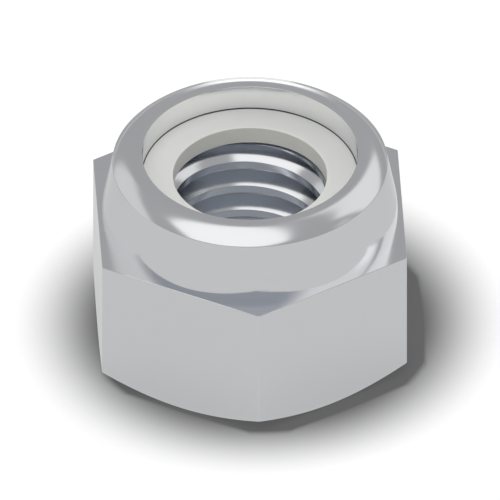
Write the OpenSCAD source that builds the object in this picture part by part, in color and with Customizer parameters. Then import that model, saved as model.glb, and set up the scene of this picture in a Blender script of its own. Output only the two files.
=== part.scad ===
// Nylon insert lock nut with an M6 coarse thread, 10 mm across flats.
// A hexagon and a round collar are turned from one piece of steel. A ring of nylon lies on a shelf
// inside the collar, and the collar's rim is rolled inwards over the ring to hold it for good.
// The origin is the centre of the bearing face, +Z points up through the collar, and two opposite
// flats of the hexagon face -X and +X. The bore is drawn at the diameter of the thread's crests.

/* [Hexagon] */
// Width of the hexagon across two opposite flats
across_flats = 10; // [9:0.1:12]
// Height of the hexagon, from the bearing face to its flat top
hex_h = 4.86; // [3.5:0.01:8]
// Diameter of the round bearing face under the hexagon
bearing_d = 9.8; // [8.6:0.05:9.9]
// Slope of the chamfer that rounds off the lower corners, up from the bearing face
chamfer_angle = 30; // [15:1:35]

/* [Thread] */
// Outer diameter of the thread, at its roots
thread_d = 6; // [5:0.1:6.6]
// Pitch of the thread
thread_pitch = 1; // [0.5:0.05:1.25]
// How much wider the crests stand than in the basic profile, on the diameter
crest_allowance = 0.053; // [0:0.001:0.23]
// How far the countersink's mouth stands outside the thread, all round
countersink_margin = 0.15; // [0.05:0.01:0.4]
// Full angle of the countersink in the bearing face
countersink_angle = 90; // [60:5:120]

/* [Collar] */
// Ledge that is left on the hexagon's top, between the collar's foot and each flat
ledge_w = 0.16; // [0.05:0.01:0.5]
// Height over which the collar's wall turns from upright, at its foot, into its lean
foot_turn_h = 0.4; // [0.1:0.05:0.8]
// Inward lean of the collar's wall
wall_lean = 10.65; // [2:0.05:14]
// Thickness of the collar's wall beside the insert's pocket, at the crease below the roll
collar_wall = 0.455; // [0.3:0.005:0.6]
// How far the rolled lip reaches in over the insert
lip_reach = 0.52; // [0.2:0.01:0.8]
// Height of the rolled rim above the lip's underside
rim_h = 0.875; // [0.6:0.005:1.2]
// Radius of the roll, seen in section
roll_r = 1.11; // [0.9:0.01:1.5]
// Depth of the crease, where the roll meets the wall, below the top of the rim
crease_drop = 0.38; // [0.2:0.01:0.5]

/* [Insert] */
// Height of the shelf that the insert lies on, above the hexagon's top
shelf_h = 0.775; // [0.3:0.005:1.5]
// Height of the nylon ring
insert_h = 0.63; // [0.4:0.01:2]
// How far the ring's bore stands inside the thread's outer diameter, all round
insert_grip = 0.475; // [0.2:0.005:0.5]
// Chamfer on the edges of the ring's bore
insert_edge = 0.03; // [0.01:0.005:0.08]

/* [Clearances] */
// Gap between the ring and the pocket's wall, all round
side_gap = 0.01; // [0:0.005:0.05]
// Gap between the ring's top and the lip
lip_gap = 0.03; // [0:0.005:0.1]
// Depth of the relief that keeps the thread's first turn off the ring
relief_depth = 0.045; // [0.02:0.005:0.15]
// How far the relief stands outside the thread, all round
relief_margin = 0.1; // [0.05:0.01:0.3]

/* [Hidden] */
$fn = 96;

// Cuts run this far past the face that they open
over = 1;

// Depth of the basic thread profile, on the diameter, as a share of the pitch
profile_share = 1.0825;
crest_d = thread_d - profile_share * thread_pitch + crest_allowance;

corner_r = across_flats / 2 / cos(30);
countersink_r = thread_d / 2 + countersink_margin;
countersink_h = (countersink_r - crest_d / 2) / tan(countersink_angle / 2);

// Heights above the bearing face, from the shelf up
shelf_z = hex_h + shelf_h;
insert_top_z = shelf_z + insert_h;
lip_z = insert_top_z + lip_gap;
rim_z = lip_z + rim_h;
crease_z = rim_z - crease_drop;

// Radii, from the collar's foot in
foot_r = across_flats / 2 - ledge_w;
foot_turn_r = foot_turn_h / sin(wall_lean);
foot_turn_x = foot_r - foot_turn_r;
lean_z = hex_h + foot_turn_h;
lean_r = foot_turn_x + foot_turn_r * cos(wall_lean);
crease_r = lean_r - (crease_z - lean_z) * tan(wall_lean);
pocket_r = crease_r - collar_wall;
lip_r = pocket_r - lip_reach;
insert_r = pocket_r - side_gap;
insert_bore_r = thread_d / 2 - insert_grip;
relief_r = thread_d / 2 + relief_margin;

// Centre of the roll's arc, which tops out at rim_z and passes through the crease
roll_z = rim_z - roll_r;
roll_x = crease_r - sqrt(pow(roll_r, 2) - pow(roll_r - crease_drop, 2));

// Hexagon with its lower corners turned off by a cone, so that each flat ends in a curve below
module hexagon() {
    chamfer_rise = (corner_r + over - bearing_d / 2) * tan(chamfer_angle);
    intersection() {
        rotate([0, 0, 30])
            cylinder(r = corner_r, h = hex_h, $fn = 6);
        rotate_extrude()
            polygon([
                [0, 0],
                [bearing_d / 2, 0],
                [corner_r + over, chamfer_rise],
                [corner_r + over, hex_h + over],
                [0, hex_h + over]
            ]);
    }
}

// Half section of the collar's wall, upright at its foot and leaning inwards above
module wall_section() {
    intersection() {
        polygon([
            [0, hex_h - over],
            [lean_r + (foot_turn_h + over) * tan(wall_lean), hex_h - over],
            [lean_r - (rim_z + over - lean_z) * tan(wall_lean), rim_z + over],
            [0, rim_z + over]
        ]);
        union() {
            translate([foot_turn_x, hex_h])
                circle(r = foot_turn_r);
            translate([0, hex_h - over])
                square([max(foot_turn_x, roll_x), over + foot_turn_h]);
            translate([0, lean_z])
                square([corner_r, rim_z + over - lean_z]);
        }
    }
}

// Half section of the collar before it is hollowed: its wall, cut off above by the roll's arc
module collar_section() {
    intersection() {
        wall_section();
        union() {
            translate([roll_x, roll_z])
                circle(r = roll_r);
            translate([0, hex_h - over - over])
                square([corner_r, roll_z - hex_h + 2 * over]);
            translate([0, hex_h - over])
                square([roll_x, rim_z - hex_h + over]);
        }
    }
}

// Room inside the nut: countersink, bore, relief, the insert's pocket and the opening in the lip
module bore_section() {
    polygon([
        [0, -over],
        [countersink_r + over * tan(countersink_angle / 2), -over],
        [crest_d / 2, countersink_h],
        [crest_d / 2, shelf_z - relief_depth],
        [relief_r, shelf_z - relief_depth],
        [relief_r, shelf_z],
        [pocket_r, shelf_z],
        [pocket_r, lip_z],
        [lip_r, lip_z],
        [lip_r, rim_z + over],
        [0, rim_z + over]
    ]);
}

module nut_body() {
    color("silver")
        difference() {
            union() {
                hexagon();
                rotate_extrude()
                    collar_section();
            }
            rotate_extrude()
                bore_section();
        }
}

// Ring of nylon, which the bolt's thread presses into
module nylon_insert() {
    color("gainsboro")
        rotate_extrude()
            polygon([
                [insert_bore_r + insert_edge, shelf_z],
                [insert_r, shelf_z],
                [insert_r, insert_top_z],
                [insert_bore_r + insert_edge, insert_top_z],
                [insert_bore_r, insert_top_z - insert_edge],
                [insert_bore_r, shelf_z + insert_edge]
            ]);
}

nut_body();
nylon_insert();
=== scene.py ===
# %% [markdown]
# # Nylon insert lock nut
#
# This notebook dresses a small lock nut for a picture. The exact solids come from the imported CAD
# model, and two finely made pieces stand for them here: the plated steel body, which gets its real
# thread and lightly broken edges, and the nylon ring that lies inside its collar.
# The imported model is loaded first, because everything else is measured against it.

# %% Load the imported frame
import math

import bmesh
import bpy
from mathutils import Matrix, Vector


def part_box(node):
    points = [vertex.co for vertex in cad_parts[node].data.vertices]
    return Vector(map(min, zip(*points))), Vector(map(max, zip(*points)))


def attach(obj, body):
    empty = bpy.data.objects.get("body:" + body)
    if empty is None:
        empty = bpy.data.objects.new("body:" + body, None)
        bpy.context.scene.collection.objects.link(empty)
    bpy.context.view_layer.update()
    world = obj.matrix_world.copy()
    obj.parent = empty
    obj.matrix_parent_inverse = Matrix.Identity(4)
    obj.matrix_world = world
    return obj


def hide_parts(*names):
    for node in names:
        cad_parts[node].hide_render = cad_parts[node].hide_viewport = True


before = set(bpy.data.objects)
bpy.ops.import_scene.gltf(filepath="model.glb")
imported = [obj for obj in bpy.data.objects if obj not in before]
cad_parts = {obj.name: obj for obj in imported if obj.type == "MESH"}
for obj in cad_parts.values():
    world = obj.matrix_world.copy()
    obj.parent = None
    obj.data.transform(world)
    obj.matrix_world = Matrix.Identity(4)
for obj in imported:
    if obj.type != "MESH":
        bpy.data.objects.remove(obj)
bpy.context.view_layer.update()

MM = 0.001


def in_mm(corner):
    """A corner of a box in mm, short enough to print."""
    return [round(v / MM, 3) for v in corner]


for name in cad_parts:
    low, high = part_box(name)
    print(name, in_mm(low), in_mm(high))

# %% [markdown]
# ## The camera
#
# The nut is seen from a little left of one of its corners, 38 degrees above the floor. Edges that
# are parallel on the nut stay parallel in the picture, so the camera is orthographic. Blender then
# needs only a direction, a width of view and the point at which the camera looks.

# %% Camera
CAMERA_TURN = math.radians(-2.96)
CAMERA_RISE = math.radians(37.98)
CAMERA_AWAY = 0.12
VIEW_WIDTH = 0.016388
LOOK_AT = Vector((0, 0, 0.003146))

toward_camera = Vector((
    math.cos(CAMERA_RISE) * math.sin(CAMERA_TURN),
    -math.cos(CAMERA_RISE) * math.cos(CAMERA_TURN),
    math.sin(CAMERA_RISE),
))

camera = bpy.data.objects.new("camera", bpy.data.cameras.new("camera"))
bpy.context.scene.collection.objects.link(camera)
camera.data.type = "ORTHO"
camera.data.ortho_scale = VIEW_WIDTH
camera.data.clip_start = 0.001
camera.data.clip_end = 2
camera.location = LOOK_AT + CAMERA_AWAY * toward_camera
camera.rotation_mode = "QUATERNION"
camera.rotation_quaternion = (-toward_camera).to_track_quat("-Z", "Y")
bpy.context.scene.camera = camera
bpy.context.scene.view_settings.view_transform = "Standard"
print("camera at", [round(v, 4) for v in camera.location])

# %% [markdown]
# ## Sections and skins
#
# Both pieces are turned parts, apart from the hexagon and the thread. A turned part is easiest to
# make the way a lathe does: draw half of its section, then carry the section round the axis. Here
# every step round the axis may have a section of its own, so the same helper also makes the
# hexagon, whose flats come nearer to the axis than its corners, and the thread, which climbs.
#
# Real edges are never quite sharp, and a tiny round on each edge catches the light as it does on
# the real nut. So the first helper rounds the corners of a section.

# %% Rounded section
def rounded(corners, steps):
    """Points (r, z) of a section whose corners (r, z, radius) are each rounded in a few steps."""
    points = []
    for i, (r, z, radius) in enumerate(corners):
        corner = Vector((r, z))
        if radius == 0:
            points.append(corner)
            continue
        before = (Vector(corners[i - 1][:2]) - corner).normalized()
        after = (Vector(corners[(i + 1) % len(corners)][:2]) - corner).normalized()
        half = before.angle(after) / 2
        centre = corner + (before + after).normalized() * radius / math.sin(half)
        start = corner + before * radius / math.tan(half) - centre
        turn = start.angle_signed(corner + after * radius / math.tan(half) - centre)
        for step in range(steps + 1):
            a = -turn * step / steps
            swung = Vector((
                start.x * math.cos(a) - start.y * math.sin(a),
                start.x * math.sin(a) + start.y * math.cos(a),
            ))
            points.append(centre + swung)
    return points


print("one corner becomes", len(rounded([(0, 0, 0), (1, 0, 0.1), (1, 1, 0)], 3)) - 2, "points")

# %% [markdown]
# A wide flat next to the narrow faces of a rounded edge has a catch. Smooth shading averages the
# directions of the faces that meet in a point, so the flat would seem to bend along its border.
# The helper below gives each corner of a face a direction of its own instead: the average over the
# faces that join it smoothly, in which a face counts by the square of its area. The flat then stays
# flat and the narrow faces make up the whole bend.

# %% Even shading
SHARP = math.radians(31)


def smooth_group(loops_by_face):
    """Takes out, from the corners that meet in one point, a group whose faces join smoothly."""
    group = [loops_by_face.popitem()[1]]
    for loop in group:
        for edge in (loop.edge, loop.link_loop_prev.edge):
            if edge.calc_face_angle(math.pi) < SHARP:
                group += [loops_by_face.pop(f) for f in edge.link_faces if f in loops_by_face]
    return group


def corner_normals(work):
    """A shading direction for each corner of each face, in the order of the faces."""
    found = {}
    for vert in work.verts:
        waiting = {loop.face: loop for loop in vert.link_loops}
        while waiting:
            group = smooth_group(waiting)
            total = Vector()
            for loop in group:
                total += loop.face.normal * (loop.face.calc_area() / MM ** 2) ** 2
            for loop in group:
                found[loop] = total.normalized()
    return [found[loop] for face in work.faces for loop in face.loops]

# %% [markdown]
# The skin is the second helper. It places the points of each section, joins each section to the
# next with four-sided faces, and welds the points that fall together. The mesh has to be closed,
# so it counts the edges that don't lie between exactly two faces, which should be none.

# %% Skin over a ring of sections
WELD = 2e-8
SLIVER = 1e-8


def skinned(name, turns, section_at):
    """A closed mesh over the closed sections that section_at(turn) gives in mm, all the way round."""
    mesh = bpy.data.meshes.new(name)
    work = bmesh.new()
    rings = []
    for turn in turns:
        c, s = math.cos(turn), math.sin(turn)
        ring = [work.verts.new((p.x * c * MM, p.x * s * MM, p.y * MM)) for p in section_at(turn)]
        rings.append(ring)
    for here, there in zip(rings, rings[1:]):
        for k in range(len(here)):
            work.faces.new((here[k - 1], there[k - 1], there[k], here[k]))
    bmesh.ops.remove_doubles(work, verts=work.verts, dist=WELD)
    bmesh.ops.dissolve_degenerate(work, edges=work.edges, dist=SLIVER)
    bmesh.ops.recalc_face_normals(work, faces=work.faces)
    work.normal_update()
    odd = sum(1 for e in work.edges if len(e.link_faces) != 2)
    volume = work.calc_volume() / MM ** 3
    normals = corner_normals(work)
    work.to_mesh(mesh)
    work.free()
    mesh.shade_smooth()
    mesh.set_sharp_from_angle(angle=SHARP)
    mesh.normals_split_custom_set(normals)
    piece = bpy.data.objects.new(name, mesh)
    bpy.context.scene.collection.objects.link(piece)
    print(name, len(mesh.polygons), "faces,", odd, "open edges,", round(volume, 2), "mm3")
    return piece

# %% [markdown]
# ## The steel body
#
# The body is one piece of steel. Below is a hexagon, whose lower corners are turned off by a cone,
# so that each flat ends in a curve. Above is a collar with a slightly leaning wall, which was
# rolled inwards at its rim once the ring was in, and so has a crease where the roll begins.
# The sizes are those of the CAD source, in mm.

# %% Sizes of the body
ACROSS_FLATS = 10.0
HEX_TOP = 4.86
BEARING_R = 4.9
CHAMFER = math.radians(30)
FOOT_R = 4.84
FOOT_TURN_H = 0.4
LEAN = math.radians(10.65)
FOOT_TURN_R = FOOT_TURN_H / math.sin(LEAN)
LEAN_Z = HEX_TOP + FOOT_TURN_H
LEAN_R = FOOT_R - FOOT_TURN_R * (1 - math.cos(LEAN))
RIM_Z = 7.17
CREASE_Z = 6.79
CREASE_R = LEAN_R - (CREASE_Z - LEAN_Z) * math.tan(LEAN)
ROLL = 1.11
ROLL_Z = RIM_Z - ROLL
ROLL_R = CREASE_R - math.sqrt(ROLL ** 2 - (CREASE_Z - ROLL_Z) ** 2)
COLLAR_WALL = 0.455
POCKET_R = CREASE_R - COLLAR_WALL
LIP_REACH = 0.52
LIP_R = POCKET_R - LIP_REACH
LIP_Z = 6.295
SHELF_Z = 5.635
RELIEF_Z = 5.59
RELIEF_R = 3.1
SINK_R = 3.15
print("crease", round(CREASE_R, 3), "roll", round(ROLL_R, 3), "pocket", round(POCKET_R, 3))

# %% [markdown]
# The hexagon's upright edges are rounded by a twentieth of a millimetre. Seen from the axis, the
# outline is straight over the flats and an arc at the corners. The steps round the axis follow it:
# one each degree, and five close together over each corner.

# %% Outline of the hexagon
HALF_FLAT = math.radians(30)
CORNER_ROUND = 0.05
CORNER_C = (ACROSS_FLATS / 2 - CORNER_ROUND) / math.cos(HALF_FLAT)


def corner_turns():
    """Turns from a corner of the hexagon at which its small arc has a point."""
    turns = []
    for a in (-30, -15, 0, 15, 30):
        x = CORNER_C + CORNER_ROUND * math.cos(math.radians(a))
        y = CORNER_ROUND * math.sin(math.radians(a))
        turns.append(math.atan2(y, x))
    return turns


def hexagon_r(turn):
    """Distance from the axis to the hexagon's outline."""
    off = (turn + HALF_FLAT) % (2 * HALF_FLAT) - HALF_FLAT
    from_corner = HALF_FLAT - abs(off)
    if from_corner > corner_turns()[-1]:
        return ACROSS_FLATS / 2 / math.cos(off)
    across = CORNER_C * math.sin(from_corner)
    return CORNER_C * math.cos(from_corner) + math.sqrt(CORNER_ROUND ** 2 - across ** 2)


body_turns = []
for degree in range(361):
    if degree % 60 == 30:
        body_turns += [math.radians(degree) + small for small in corner_turns()]
    else:
        body_turns.append(math.radians(degree))
print(len(body_turns), "steps round the axis, corners at", round(hexagon_r(HALF_FLAT), 4))

# %% [markdown]
# ## The thread
#
# An M6 nut has one turn of thread for each millimetre, right-handed, with flanks at 30 degrees to
# a plane across the axis. The crests of a nut's thread are flat and stand nearest to the axis. A
# screw modifier could carry one tooth along a helix, but the thread must end cleanly at the relief
# under the ring and at the countersink below. So its rows of points are laid along the helix at
# every step round the axis, and rows beyond either end are gathered in the end's plane, where
# they merge.

# %% Thread
PITCH = 1.0
CREST_R = 2.48525
CREST_HALF = 0.1415
CREST_ROUND = 0.02
ROOT_R = 3.0
ROOT_ROUND = 0.05
FLANK_SLOPE = math.radians(30)
FLANK = (ROOT_R - CREST_R) * math.tan(FLANK_SLOPE)
TOOTH_FINE = 3
LONG_STRETCH = 0.1


def with_middles(points):
    """The same points, with three more spread over each long stretch between them."""
    out = []
    for a, b in zip(points, points[1:]):
        out.append(a)
        if (b - a).length > LONG_STRETCH:
            out += [a.lerp(b, t) for t in (0.25, 0.5, 0.75)]
    return out + [points[-1]]


tooth = with_middles(rounded([
    (ROOT_R, -PITCH / 2, 0),
    (ROOT_R, -CREST_HALF - FLANK, ROOT_ROUND),
    (CREST_R, -CREST_HALF, CREST_ROUND),
    (CREST_R, CREST_HALF, CREST_ROUND),
    (ROOT_R, CREST_HALF + FLANK, ROOT_ROUND),
    (ROOT_R, PITCH / 2, 0),
], TOOTH_FINE)[1:])
print(len(tooth), "rows to each turn of thread, flank", round(FLANK, 4), "mm along the axis")

# %% [markdown]
# In the last turn under the ring, the band of light on the upper flank is more than twice as wide
# as in the turns below. A flank that is a few degrees steeper, as where a tap runs out, shows just
# that much of the opening above, so the upper flank near the crest is steeper there.

# %% Last turn of the thread
STEEP_SLOPE = math.radians(37.5)
STEEP_DEPTH = 0.26
STEEP_FROM = 4.2
STEEP_FULL = 4.45
steeper = math.tan(STEEP_SLOPE) - math.tan(FLANK_SLOPE)


def run_out(point, crest_z):
    """How much higher a point of the upper flank lies in the last turn under the ring."""
    if point.y <= 0:
        return 0
    share = min(max((crest_z - STEEP_FROM) / (STEEP_FULL - STEEP_FROM), 0), 1)
    return share * steeper * min(point.x - CREST_R, STEEP_DEPTH)


print("the flank ends up to", round(steeper * STEEP_DEPTH, 3), "mm higher in the last turn")

# %% [markdown]
# One crest fixes where the helix stands: 4.7355 mm up, straight behind as the camera sees it. The
# laps count the turns of thread from there, up past the relief and down past the bearing face.
#
# The thread breaks through the plane of the relief somewhere between two rows, so its edge is
# taken from the line between the last row above that plane and the first row below it. In the
# countersink, the wider of the cone and the thread is what is left of the steel.

# %% Bore of the nut at one step
CREST_Z = 4.7355
CREST_TURN = math.radians(87.04)
LAPS = range(1, -7, -1)


def bore_at(turn):
    """Points of the bore from the relief down to the bearing face."""
    rise = CREST_Z + PITCH * (turn - CREST_TURN) / (2 * math.pi)
    thread = []
    for lap in LAPS:
        crest_z = rise + lap * PITCH
        for p in reversed(tooth):
            thread.append(Vector((p.x, crest_z + p.y + run_out(p, crest_z))))
    above = [p for p in thread if p.y >= RELIEF_Z]
    below = [p for p in thread if p.y < RELIEF_Z]
    a, b = above[-1], below[0]
    end = a.lerp(b, (a.y - RELIEF_Z) / (a.y - b.y))
    points = [end.copy() for p in [end] + above]
    for p in below:
        if p.y <= 0:
            points.append(Vector((SINK_R, 0)))
        else:
            points.append(Vector((max(p.x, SINK_R - p.y), p.y)))
    return points


print("bore has", len(bore_at(0)), "points at each step")

# %% [markdown]
# The section of the outside is drawn once for each step, because the hexagon's outline changes the
# cone's height and the width of its top. The collar's wall stands upright on the hexagon and turns
# into its lean over 0.4 mm. The roll of the rim is an arc of 1.11 mm radius, which ends in a narrow
# level land beside the opening.

# %% Outside of the body at one step
BODY_FINE = 3
FOOT_STEPS = 8
ROLL_STEPS = 14
BEARING_ROUND = 0.08
LOWER_ROUND = 0.035
TOP_ROUND = 0.02
CREASE_ROUND = 0.06
LIP_ROUND = 0.012


def outside_at(turn):
    """Corners of the body's section, from the bearing face up over the rim and down to the relief."""
    hex_r = hexagon_r(turn)
    chamfer_z = (hex_r - BEARING_R) * math.tan(CHAMFER)
    corners = [
        (SINK_R, 0, 0),
        (BEARING_R, 0, BEARING_ROUND),
        (hex_r, chamfer_z, LOWER_ROUND),
        (hex_r, HEX_TOP, TOP_ROUND),
        (FOOT_R, HEX_TOP, 0),
    ]
    for step in range(1, FOOT_STEPS + 1):
        a = LEAN * step / FOOT_STEPS
        inwards = FOOT_TURN_R * (1 - math.cos(a))
        corners.append((FOOT_R - inwards, HEX_TOP + FOOT_TURN_R * math.sin(a), 0))
    corners.append((CREASE_R, CREASE_Z, CREASE_ROUND))
    first = math.asin((CREASE_Z - ROLL_Z) / ROLL)
    for step in range(1, ROLL_STEPS + 1):
        a = first + (math.pi / 2 - first) * step / ROLL_STEPS
        corners.append((ROLL_R + ROLL * math.cos(a), ROLL_Z + ROLL * math.sin(a), 0))
    corners += [
        (LIP_R, RIM_Z, LIP_ROUND),
        (LIP_R, LIP_Z, LIP_ROUND),
        (POCKET_R, LIP_Z, 0),
        (POCKET_R, SHELF_Z, 0),
        (RELIEF_R, SHELF_Z, 0),
        (RELIEF_R, RELIEF_Z, 0),
    ]
    return corners


# %% Steel body
def body_section(turn):
    return rounded(outside_at(turn), BODY_FINE) + bore_at(turn)


body = skinned("steel_body", body_turns, body_section)
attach(body, "root")
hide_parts("nut_body")

# %% [markdown]
# ## The nylon ring
#
# The ring is a plain moulded washer with softened edges. It lies on the shelf inside the collar,
# and its bore is a little smaller than the bolt, whose thread presses into it and is gripped.

# %% Ring
ring_low, ring_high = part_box("nylon_insert")
RING_R = ring_high[0] / MM
RING_BORE = 2.525
RING_Z = ring_low[2] / MM
RING_TOP = ring_high[2] / MM
RING_ROUND = 0.05
BORE_ROUND_LOW = 0.03
BORE_ROUND_TOP = 0.035
RING_FINE = 5


def ring_section(turn):
    return rounded([
        (RING_BORE, RING_Z, BORE_ROUND_LOW),
        (RING_R, RING_Z, RING_ROUND),
        (RING_R, RING_TOP, RING_ROUND),
        (RING_BORE, RING_TOP, BORE_ROUND_TOP),
    ], RING_FINE)


ring_turns = [math.radians(degree) for degree in range(361)]
ring = skinned("nylon_ring", ring_turns, ring_section)
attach(ring, "root")
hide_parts("nylon_insert")

# %% [markdown]
# ## Sums on sockets
#
# A material in Blender is a graph of nodes, and a sum in it takes a Math node for every step. The
# class below wraps the output of a node, so that such a sum can be written as plain Python. All
# other nodes come from one method, which takes the kind of node, its settings and its inputs. An
# input is given by its name, or by i and its number where several inputs share a name.

# %% Sockets that can be added up
def set_stops(color_ramp, stops):
    """Gives a ramp its stops. A new ramp has two, and the others are added."""
    for i, (at, colour) in enumerate(stops):
        stop = color_ramp.elements[i] if i < 2 else color_ramp.elements.new(at)
        stop.position = at
        stop.color = colour


class Wire:
    """The output of a node, on which sums add Math nodes."""

    def __init__(self, tree, socket):
        self.tree = tree
        self.socket = socket

    def node(self, kind, settings, **inputs):
        """Adds a node, sets it up, fills or links its inputs, and gives its outputs by name."""
        made = self.tree.nodes.new(kind)
        for key, value in settings.items():
            if key == "stops":
                set_stops(made.color_ramp, value)
            else:
                setattr(made, key, value)
        for key, value in inputs.items():
            name = int(key[1:]) if key[1:].isdigit() else key.replace("_", " ")
            if isinstance(value, Wire):
                self.tree.links.new(value.socket, made.inputs[name])
            else:
                made.inputs[name].default_value = value
        return {o.name: Wire(self.tree, o) for o in made.outputs if o.enabled}

    def maths(self, operation, *values, clamp=False):
        settings = {"operation": operation, "use_clamp": clamp}
        inputs = {"i%d" % i: value for i, value in enumerate(values)}
        return self.node("ShaderNodeMath", settings, **inputs)["Value"]

    def __add__(self, other):
        return self.maths("ADD", self, other)

    def __radd__(self, other):
        return self.maths("ADD", other, self)

    def __sub__(self, other):
        return self.maths("SUBTRACT", self, other)

    def __rsub__(self, other):
        return self.maths("SUBTRACT", other, self)

    def __mul__(self, other):
        return self.maths("MULTIPLY", self, other)

    def __rmul__(self, other):
        return self.maths("MULTIPLY", other, self)

    def __truediv__(self, other):
        return self.maths("DIVIDE", self, other)

    def __rtruediv__(self, other):
        return self.maths("DIVIDE", other, self)

    def __rpow__(self, other):
        return self.maths("POWER", other, self)

    def clamped(self):
        return self.maths("ADD", self, 0.0, clamp=True)

    def size(self):
        """The value without its sign."""
        return self.maths("ABSOLUTE", self)

    def most(self, *others):
        """The largest of several values."""
        result = self
        for other in others:
            result = self.maths("MAXIMUM", result, other)
        return result

    def least(self, *others):
        """The smallest of several values."""
        result = self
        for other in others:
            result = self.maths("MINIMUM", result, other)
        return result

    def step(self, start, end):
        """0 up to start, 1 from end on, and an easy slope between them."""
        settings = {"interpolation_type": "SMOOTHSTEP"}
        inputs = {"Value": self, "From_Min": start, "From_Max": end}
        return self.node("ShaderNodeMapRange", settings, **inputs)["Result"]

    def between(self, first, second):
        """The first value where this one is 0, the second where it is 1."""
        return first + self * (second - first)

    def mix(self, first, second):
        """The first colour where this value is 0, the second where it is 1."""
        inputs = {"i0": self, "i6": first, "i7": second}
        return self.node("ShaderNodeMix", {"data_type": "RGBA"}, **inputs)["Result"]

    def ramp(self, stops):
        """Colours by this value, which runs from 0 to 1, blended between the stops."""
        return self.node("ShaderNodeValToRGB", {"stops": stops}, Fac=self)["Color"]

    def vector_maths(self, operation, *vectors):
        """A Vector Math node on this vector and others."""
        inputs = {"i%d" % i: value for i, value in enumerate((self,) + vectors)}
        return self.node("ShaderNodeVectorMath", {"operation": operation}, **inputs)

    def dot(self, way):
        return self.vector_maths("DOT_PRODUCT", tuple(way))["Value"]

    def scaled(self, factors):
        """A vector with each of its parts multiplied."""
        return self.vector_maths("MULTIPLY", factors)["Vector"]

    def moved(self, way):
        return self.vector_maths("ADD", tuple(way))["Vector"]

    def length(self):
        return self.vector_maths("LENGTH")["Value"]

    def noise(self, scale, detail):
        """Cloudy values about 0.5, by place."""
        inputs = {"Vector": self, "Scale": scale, "Detail": detail}
        return self.node("ShaderNodeTexNoise", {}, **inputs)["Fac"]

    def hexagon_faces(self):
        """Distances of a place from the planes through the axis along the three pairs of flats."""
        ways = [(math.cos(a), math.sin(a), 0) for a in map(math.radians, (0, 60, 120))]
        return [self.dot(way).size() for way in ways]


def empty_tree(owner):
    """A wire into a node tree that has no nodes yet."""
    owner.use_nodes = True
    owner.node_tree.nodes.clear()
    return Wire(owner.node_tree, None)


def grey(value):
    return (value, value, value, 1)

# %% [markdown]
# ## The studio
#
# Polished steel has hardly any look of its own: what it shows is the room. This room is grey above
# and pale below, with big soft boxes of light in it. A wide one hangs over the left and the front,
# one stands behind on each side, a small dim one stands on the right, and a narrow bright strip
# stands straight behind. They could be area lights hung round the nut, but a view from above would
# then find the lights in its way. So they are painted on the sky instead. Two neighbouring corners
# of a box and the origin span a plane, and the box is where a direction lies on the inner side of
# all its planes.

# %% Directions in the studio
def aim(bearing, rise):
    """Direction with a bearing, in degrees from the nut's +X side, and a height over the floor."""
    b, r = math.radians(bearing), math.radians(rise)
    return Vector((math.cos(r) * math.cos(b), math.cos(r) * math.sin(b), math.sin(r)))


def softbox(direction, corners, soft):
    """Mask of a box of light, from the bearings and heights of its corners and its softness."""
    corners = [aim(bearing, rise) for bearing, rise in corners]
    middle = sum(corners, Vector())
    inside = None
    for a, b in zip(corners, corners[1:] + corners[:1]):
        edge = a.cross(b).normalized()
        if edge.dot(middle) < 0:
            edge.negate()
        part = direction.dot(edge).step(-soft, soft)
        inside = part if inside is None else inside * part
    return inside


print("straight behind the nut is", [round(v, 2) for v in aim(87, 0)])

# %% [markdown]
# Each box has a level, the softness of its edges and its corners. A level of 1 is as bright as
# paper white. The boxes are laid over each other, and the last one lies on top.

# %% Sky
WALL = (0.51, 0.51, 0.522, 1)
TOP_CORNERS = [(86, 59.5), (173, 54.5), (192, 49.5), (213, 40), (248, 20), (276, 42.5), (304, 50)]

world = bpy.data.worlds.new("studio")
bpy.context.scene.world = world
sky = empty_tree(world)
facing = sky.node("ShaderNodeTexCoord", {})["Generated"]

boxes = [
    ("top", 1.34, 0.065, TOP_CORNERS),
    ("patch", 0.70, 0.06, [(358, 42), (358, 26), (345, 28), (343, 38)]),
    ("right", 1.05, 0.06, [(77, 53), (59, 24), (27, 12), (7, 16), (3, 52)]),
    ("left", 0.88, 0.06, [(116, 42), (130, 3), (190, 3), (180, 31)]),
    ("strip", 1.9, 0.05, [(92.5, -2), (79.5, -2), (81, 18), (91, 18)]),
]
light = WALL
for box_name, level, soft, corners in boxes:
    light = softbox(facing, corners, soft).mix(light, grey(level))
    print(box_name, "box of level", level, "with", len(corners), "corners")

# %% [markdown]
# Where the steel faces itself, as between two turns of thread or in the foot of the collar, a ray
# of light is thrown back twice or more. Such places see the room through a second mirror, low and
# close, where a real studio is a ring of upright panels and dark gaps. So the sky has a second
# face for such rays: a ramp by bearing, a small lamp low on the right and a bright ceiling. After
# three bounces, deep in the thread, only dark corners of the room are left to see.
#
# Bright plating also loses less light at each bounce than the colour that suits this studio's
# level, so each further bounce gets back what it lost. The sky counts one more than the bounces
# that a ray has made, and that one is taken off first.

# %% Ring of panels for the second bounce
NAVY = (0.41, 0.43, 0.475, 1)
LAMP_CORNERS = [(-4, 14), (14, 14), (14, 34), (-4, 34)]
LAMP_LEVEL = 1.3
LAMP_SOFT = 0.06
CEILING_LEVEL = 1.9

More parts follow.
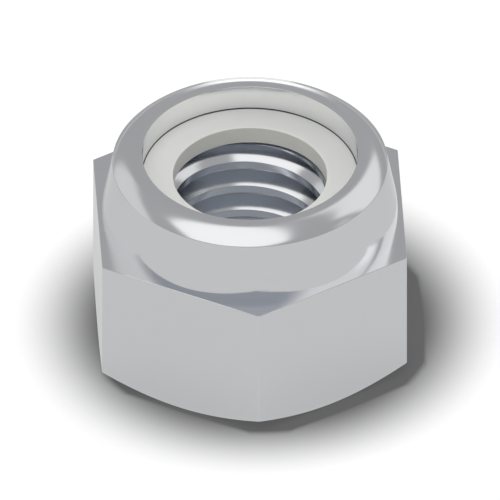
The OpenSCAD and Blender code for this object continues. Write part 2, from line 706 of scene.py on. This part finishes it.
panels = [
    (-180, grey(0.62)), (-170, NAVY), (-64, NAVY), (-45, grey(1.02)), (16, grey(1.02)),
    (21, grey(0.47)), (25, grey(0.47)), (29, grey(1.09)), (76, grey(1.09)), (83, grey(0.98)),
    (90, grey(0.68)), (98, grey(0.62)), (112, grey(0.76)), (125, grey(0.85)), (170, grey(0.90)),
    (180, grey(0.62)),
]
axes = sky.node("ShaderNodeSeparateXYZ", {}, Vector=facing)
bearing = sky.maths("ARCTAN2", axes["Y"], axes["X"]) / (2 * math.pi) + 0.5
inner_light = bearing.ramp([((b + 180) / 360, colour) for b, colour in panels])
lamp = softbox(facing, LAMP_CORNERS, LAMP_SOFT)
inner_light = lamp.mix(inner_light, grey(LAMP_LEVEL))
upward = facing.dot((0, 0, 1))
inner_light = upward.step(0.88, 0.94).mix(inner_light, grey(CEILING_LEVEL))
print(len(panels), "stops round the ring of panels")

# %% Sky by the number of bounces
DEEP = (0.26, 0.30, 0.35, 1)
BELOW_HORIZON = 0.8
BOUNCE_GAIN = 1.41

bounce = sky.node("ShaderNodeLightPath", {})["Ray Depth"] - 1
light = bounce.step(1.4, 1.6).mix(light, inner_light)
light = bounce.step(2.4, 2.6).mix(light, DEEP)
light = upward.step(-0.03, 0.03).mix(grey(BELOW_HORIZON), light)
gain = BOUNCE_GAIN ** (bounce - 1).most(0.0)
shown = sky.node("ShaderNodeBackground", {}, Color=light, Strength=gain)["Background"]
sky.node("ShaderNodeOutputWorld", {}, Surface=shown)
print(len(world.node_tree.nodes), "nodes paint the sky")

# %% [markdown]
# ## The floor
#
# The nut stands on a plain pale floor. Its shadow is dark where it touches and gone a few
# millimetres further out, a little wider on the right. Soft light from all around doesn't give
# that: it leaves a wide faint shade. So the floor is drawn in two halves that add up. One is lit
# by the room and holds the real shade, the other is a glow that only the camera sees. Both fade
# towards the nut by the distance from a point a little to the right of its axis and behind it.
# Close to the foot they are darkest, in a shape like the hexagon with its corners cut by a circle.

# %% Floor
FLOOR_HALF = 0.1

floor_mesh = bpy.data.meshes.new("floor")
floor_mesh.from_pydata(
    [
        (-FLOOR_HALF, -FLOOR_HALF, 0),
        (FLOOR_HALF, -FLOOR_HALF, 0),
        (FLOOR_HALF, FLOOR_HALF, 0),
        (-FLOOR_HALF, FLOOR_HALF, 0),
    ],
    [],
    [(0, 1, 2, 3)],
)
floor = bpy.data.objects.new("floor", floor_mesh)
bpy.context.scene.collection.objects.link(floor)
print("floor is", 2 * FLOOR_HALF, "m wide")

# %% Shadow on the floor
TO_MM = (1 / MM, 1 / MM, 1 / MM)
SHADOW_SHIFT = Vector((0.40, 0.13, 0))
SHADOW_START = 4.42
SHADOW_END = 8.5
CONTACT_SHIFT = Vector((0.35, 0.03, 0))
CONTACT_FLATS = (5.03, 5.42)
CONTACT_CIRCLE = (5.4, 5.95)
DARKEST = 0.105

pale = bpy.data.materials.new("pale_floor")
ground = empty_tree(pale)
spot = ground.node("ShaderNodeNewGeometry", {})["Position"].scaled(TO_MM)
gradual = spot.moved(-SHADOW_SHIFT).length().step(SHADOW_START, SHADOW_END)
beside = spot.moved(-CONTACT_SHIFT)
flats = beside.hexagon_faces()
outside_flats = flats[0].most(*flats[1:]).step(*CONTACT_FLATS)
outside_contact = outside_flats.most(beside.length().step(*CONTACT_CIRCLE))
openness = (gradual * outside_contact).most(DARKEST)
print("the shade ends", SHADOW_END, "mm from its middle")

# %% Both halves of the floor
LIT_DARK = grey(0.04)
LIT_PALE = grey(0.60)
GLOW = 0.55

paths = ground.node("ShaderNodeLightPath", {})
lit = ground.node("ShaderNodeBsdfDiffuse", {}, Color=openness.mix(LIT_DARK, LIT_PALE))["BSDF"]
glow_colour = openness.mix(grey(0.0), grey(1.0))
glow = ground.node("ShaderNodeEmission", {}, Color=glow_colour, Strength=GLOW)["Emission"]
none = ground.node("ShaderNodeEmission", {}, Color=grey(0.0), Strength=0.0)["Emission"]
glow = ground.node("ShaderNodeMixShader", {}, i0=paths["Is Camera Ray"], i1=none, i2=glow)["Shader"]
seen = ground.node("ShaderNodeAddShader", {}, i0=lit, i1=glow)["Shader"]
print("far out the floor glows by", GLOW, "and is lit on a grey of", LIT_PALE[0])

# %% [markdown]
# In the steel, the floor is seen as plain pale with only a hint of the shadow, and as dark where
# it is seen down through the bore. Far behind the nut it is as grey as the wall of the room, but
# lighter below the bright strip, which it mirrors. As with the sky, each further bounce gets back
# what it lost, and here no bounce has to be taken off first.

# %% Floor as the steel sees it
PLAIN = grey(0.815)
UNDER_STRIP = grey(1.4)
SHADED = (0.395, 0.425, 0.475, 1)
STRIP_SPREAD = 0.1
STRIP_SIDE = aim(-3, 0)
IN_STEEL = 0.88

depth = paths["Ray Depth"]
behind = spot.dot((0, 1, 0))
far = spot.length().step(14, 27) * behind.step(4, 8)
in_strip = (behind * STRIP_SPREAD - spot.dot(STRIP_SIDE).size()).step(-0.4, 0.4)
under_nut = 1 - spot.length().step(2.9, 3.3)
plain_colour = far.mix(PLAIN, WALL)
plain_colour = (far * in_strip).mix(plain_colour, UNDER_STRIP)
plain_colour = depth.step(2.4, 2.6).most(under_nut).mix(plain_colour, SHADED)
plain_gain = BOUNCE_GAIN ** (depth - 1).most(0.0)
plain = ground.node("ShaderNodeEmission", {}, Color=plain_colour, Strength=plain_gain)["Emission"]
in_steel = (paths["Is Glossy Ray"] + paths["Is Transmission Ray"]).clamped() * IN_STEEL
seen = ground.node("ShaderNodeMixShader", {}, i0=in_steel, i1=seen, i2=plain)["Shader"]
ground.node("ShaderNodeOutputMaterial", {}, Surface=seen)
floor.data.materials.append(pale)
print(len(pale.node_tree.nodes), "nodes in the floor")

# %% [markdown]
# ## Finishes
#
# Both finishes of the nut come from the place of a point on it, in mm, so they stay with the nut
# from whatever side it is seen. Three values serve both: the place, the distance from the axis and
# the height. Marks from turning or from a turned mould are rings, which a noise gives if it is
# read by distance and height alone. The marks are far finer than the mesh, so a bump of a
# hundredth of a millimetre carries them.

# %% Helpers for both finishes
BUMP_HEIGHT = 0.00001


def finish_for(piece, name):
    """A new material on a piece, with its places in mm, distances from the axis and heights."""
    material = bpy.data.materials.new(name)
    piece.data.materials.append(material)
    tree = empty_tree(material)
    place = tree.node("ShaderNodeTexCoord", {})["Object"].scaled(TO_MM)
    from_axis = place.scaled((1, 1, 0)).length()
    height = place.dot((0, 0, 1))
    return tree, place, from_axis, height


def turned(from_axis, height, scale):
    """Rings as a turning tool leaves them."""
    section = from_axis.node("ShaderNodeCombineXYZ", {}, X=from_axis, Z=height)["Vector"]
    return section.noise(scale, 2.0)


def surface(relief, strength, **inputs):
    """Ends a material in a shader with these inputs and a bump from a relief."""
    bump = {"Strength": strength, "Distance": BUMP_HEIGHT, "Height": relief}
    bumped = relief.node("ShaderNodeBump", {}, **bump)["Normal"]
    shader = relief.node("ShaderNodeBsdfPrincipled", {}, Normal=bumped, **inputs)["BSDF"]
    relief.node("ShaderNodeOutputMaterial", {}, Surface=shader)
    print(len(relief.tree.nodes), "nodes in this finish")

# %% [markdown]
# ## Plated steel
#
# The body is turned and pressed steel under bright zinc, a little bluish. The plating mirrors the
# room softly and follows every mark of the tools below it: fine rings on everything that was
# turned, and fine upright lines on the flats, along which the bar was drawn. It is faintly cloudy,
# a spanner has left hair scratches, and every edge that others have rubbed against is a little
# brighter and smoother. First come masks that tell the parts of the nut apart.

# %% Parts of the nut
ON_FLATS = (4.96, 4.985)
BELOW_TOP = (4.835, 4.845)
OUTSIDE_BORE = (3.0, 3.3)
ABOVE_CONE = 0.03

steel, place, from_axis, height = finish_for(body, "plated_steel")
flats = place.hexagon_faces()
on_hexagon = flats[0].most(*flats[1:]).step(*ON_FLATS)
beside_corner = flats[0].least(*flats[1:])
cone = (from_axis - BEARING_R) * math.tan(CHAMFER) + ABOVE_CONE
on_flat = on_hexagon * (height - cone).step(0.0, 0.02) * (1 - height.step(*BELOW_TOP))
outside_bore = from_axis.step(*OUTSIDE_BORE)
print(len(steel.tree.nodes), "nodes tell the parts apart")

# %% [markdown]
# The drawn lines come from a noise that is squeezed to a twenty-fifth in height, which stretches
# its clouds into upright lines. The flats show these lines and everything else shows the rings.

# %% Tool marks
rings = turned(from_axis, height, 26.0)
drawn = place.scaled((1, 1, 0.04)).noise(14.0, 3.0)
marks = on_flat.between(rings, drawn)
cloud = place.noise(1.1, 4.0)
fine = place.noise(9.0, 2.0)
print(len(steel.tree.nodes), "nodes with the tool marks")

# %% [markdown]
# A hair scratch is long and thin, so it comes from a noise that is stretched along one direction.
# Where such a noise passes through its middle value, it draws a fine line. Three directions are
# laid over each other, and clouds leave the lines in patches.

# %% Hair scratches
STRETCH = (0.25, 7.0, 7.0)

hairs = []
for turned_by, shift in ((25, 3.1), (-50, 7.7), (80, 12.9)):
    along = steel.node(
        "ShaderNodeMapping", {}, Vector=place, Scale=STRETCH,
        Location=(shift, 0, shift), Rotation=(math.radians(turned_by), 0.4, 0.9),
    )["Vector"]
    hairs.append(1 - (along.noise(1.0, 1.0) - 0.5).size().step(0.002, 0.006))
scratches = hairs[0].most(*hairs[1:]) * cloud.step(0.48, 0.62)
print(len(hairs), "directions of hair scratches")

# %% [markdown]
# Other things rub where the nut sticks out: on the upper and lower edges of the hexagon, on its
# corners and on the edge of the lip. The roll has also burnished the crease. Each mask below is 1
# at its edge and fades within a twentieth of a millimetre or so, and clouds break it up.

# %% Rubbed edges
upright = (1 - beside_corner.step(0.0, 0.05)) * on_hexagon
top_edge = (1 - (height - HEX_TOP).size().step(0.01, 0.05)) * on_hexagon
lower_edge = (1 - (height - cone).size().step(0.03, 0.07)) * on_hexagon
crease = 1 - (height - CREASE_Z).size().step(0.02, 0.07)
lip_edge = (1 - (from_axis - LIP_R).step(0.01, 0.05)) * (height - RIM_Z).step(-0.05, -0.02)
rubbed = top_edge.most(lower_edge, lip_edge, upright * 0.4, crease * 0.5) * cloud.step(0.3, 0.6)
print(len(steel.tree.nodes), "nodes with scratches and rubbed edges")

# %% [markdown]
# The colours are close to each other, because plating hardly changes colour: the marks and the
# rubbed edges differ from it by a few parts in a hundred, and the scratches by a little more. The
# wall of the lip's opening faces the nylon, and a warm, lighter colour on it is a painted reflection
# of the nylon.

# %% Plated steel
PLATING_LOW = (0.632, 0.639, 0.651, 1)
PLATING_HIGH = (0.662, 0.669, 0.681, 1)
MARKED = (0.655, 0.661, 0.671, 1)
RUBBED = (0.70, 0.705, 0.712, 1)
NYLON_REFLECTION = (0.70, 0.692, 0.68, 1)
SCRATCHED = (0.56, 0.565, 0.575, 1)

# Painted reflection: the wall of the lip's opening is coloured warmer and lighter, standing for the
# nylon it faces.
nylon_reflection_mask = (1 - (from_axis - LIP_R).step(0.0, 0.02)) * (height - RING_TOP).step(0.0, 0.02)
colour = cloud.mix(PLATING_LOW, PLATING_HIGH)
colour = (marks.step(0.35, 0.65) * outside_bore * 0.5).mix(colour, MARKED)
colour = (rubbed * 0.4).mix(colour, RUBBED)
colour = nylon_reflection_mask.mix(colour, NYLON_REFLECTION)
colour = (scratches * 0.35).mix(colour, SCRATCHED)
roughness = 0.12 + cloud * 0.03 + marks * 0.02 + scratches * 0.05 - rubbed * 0.02
relief = (marks + fine * 0.5 - scratches * 0.5) * outside_bore
surface(
    relief, 0.05,
    Base_Color=colour, Metallic=1.0, Roughness=roughness, Specular_Tint=grey(0.88),
)

# %% [markdown]
# ## Nylon
#
# The ring is natural, uncoloured nylon: off-white, satin, and slightly warm beside the steel. It
# was moulded, so its faces carry faint rings from the turned mould and tiny pits, and its colour
# is a little cloudy. Where the lip meets it, a dark hairline of painted shade stands for the narrow
# gap under the lip.

# %% Nylon
NYLON_LOW = (0.80, 0.80, 0.772, 1)
NYLON_HIGH = (0.84, 0.84, 0.812, 1)
PIT = (0.66, 0.65, 0.61, 1)
BORE_PAINTED_WARM = (0.87, 0.865, 0.80, 1)
GAP_SHADE = (0.07, 0.07, 0.07, 1)

nylon, place, from_axis, height = finish_for(ring, "natural_nylon")
cloud = place.noise(0.9, 4.0)
grain = place.noise(14.0, 2.0)
mould = turned(from_axis, height, 12.0)
cells = nylon.node("ShaderNodeTexVoronoi", {}, Vector=place, Scale=3.0)["Distance"]
pits = 1 - cells.step(0.05, 0.12)
# Painted shade: the ring's border under the lip is coloured dark, as the shade in the narrow gap
# between lip and ring.
under_lip_shade = from_axis.step(3.51, 3.53)
colour = cloud.mix(NYLON_LOW, NYLON_HIGH)
colour = (pits * 0.25).mix(colour, PIT)
# Painted light: the ring's bore is coloured warmer and a little lighter than its faces, to make up
# for the cool light the steel throws into it.
colour = (from_axis.step(2.53, 2.6) * 0.9 + 0.1).mix(BORE_PAINTED_WARM, colour)
colour = under_lip_shade.mix(colour, GAP_SHADE)
relief = grain * 0.6 + mould - pits * 0.8
surface(relief, 0.15, Base_Color=colour, Roughness=0.4 + cloud * 0.08 + grain * 0.04)
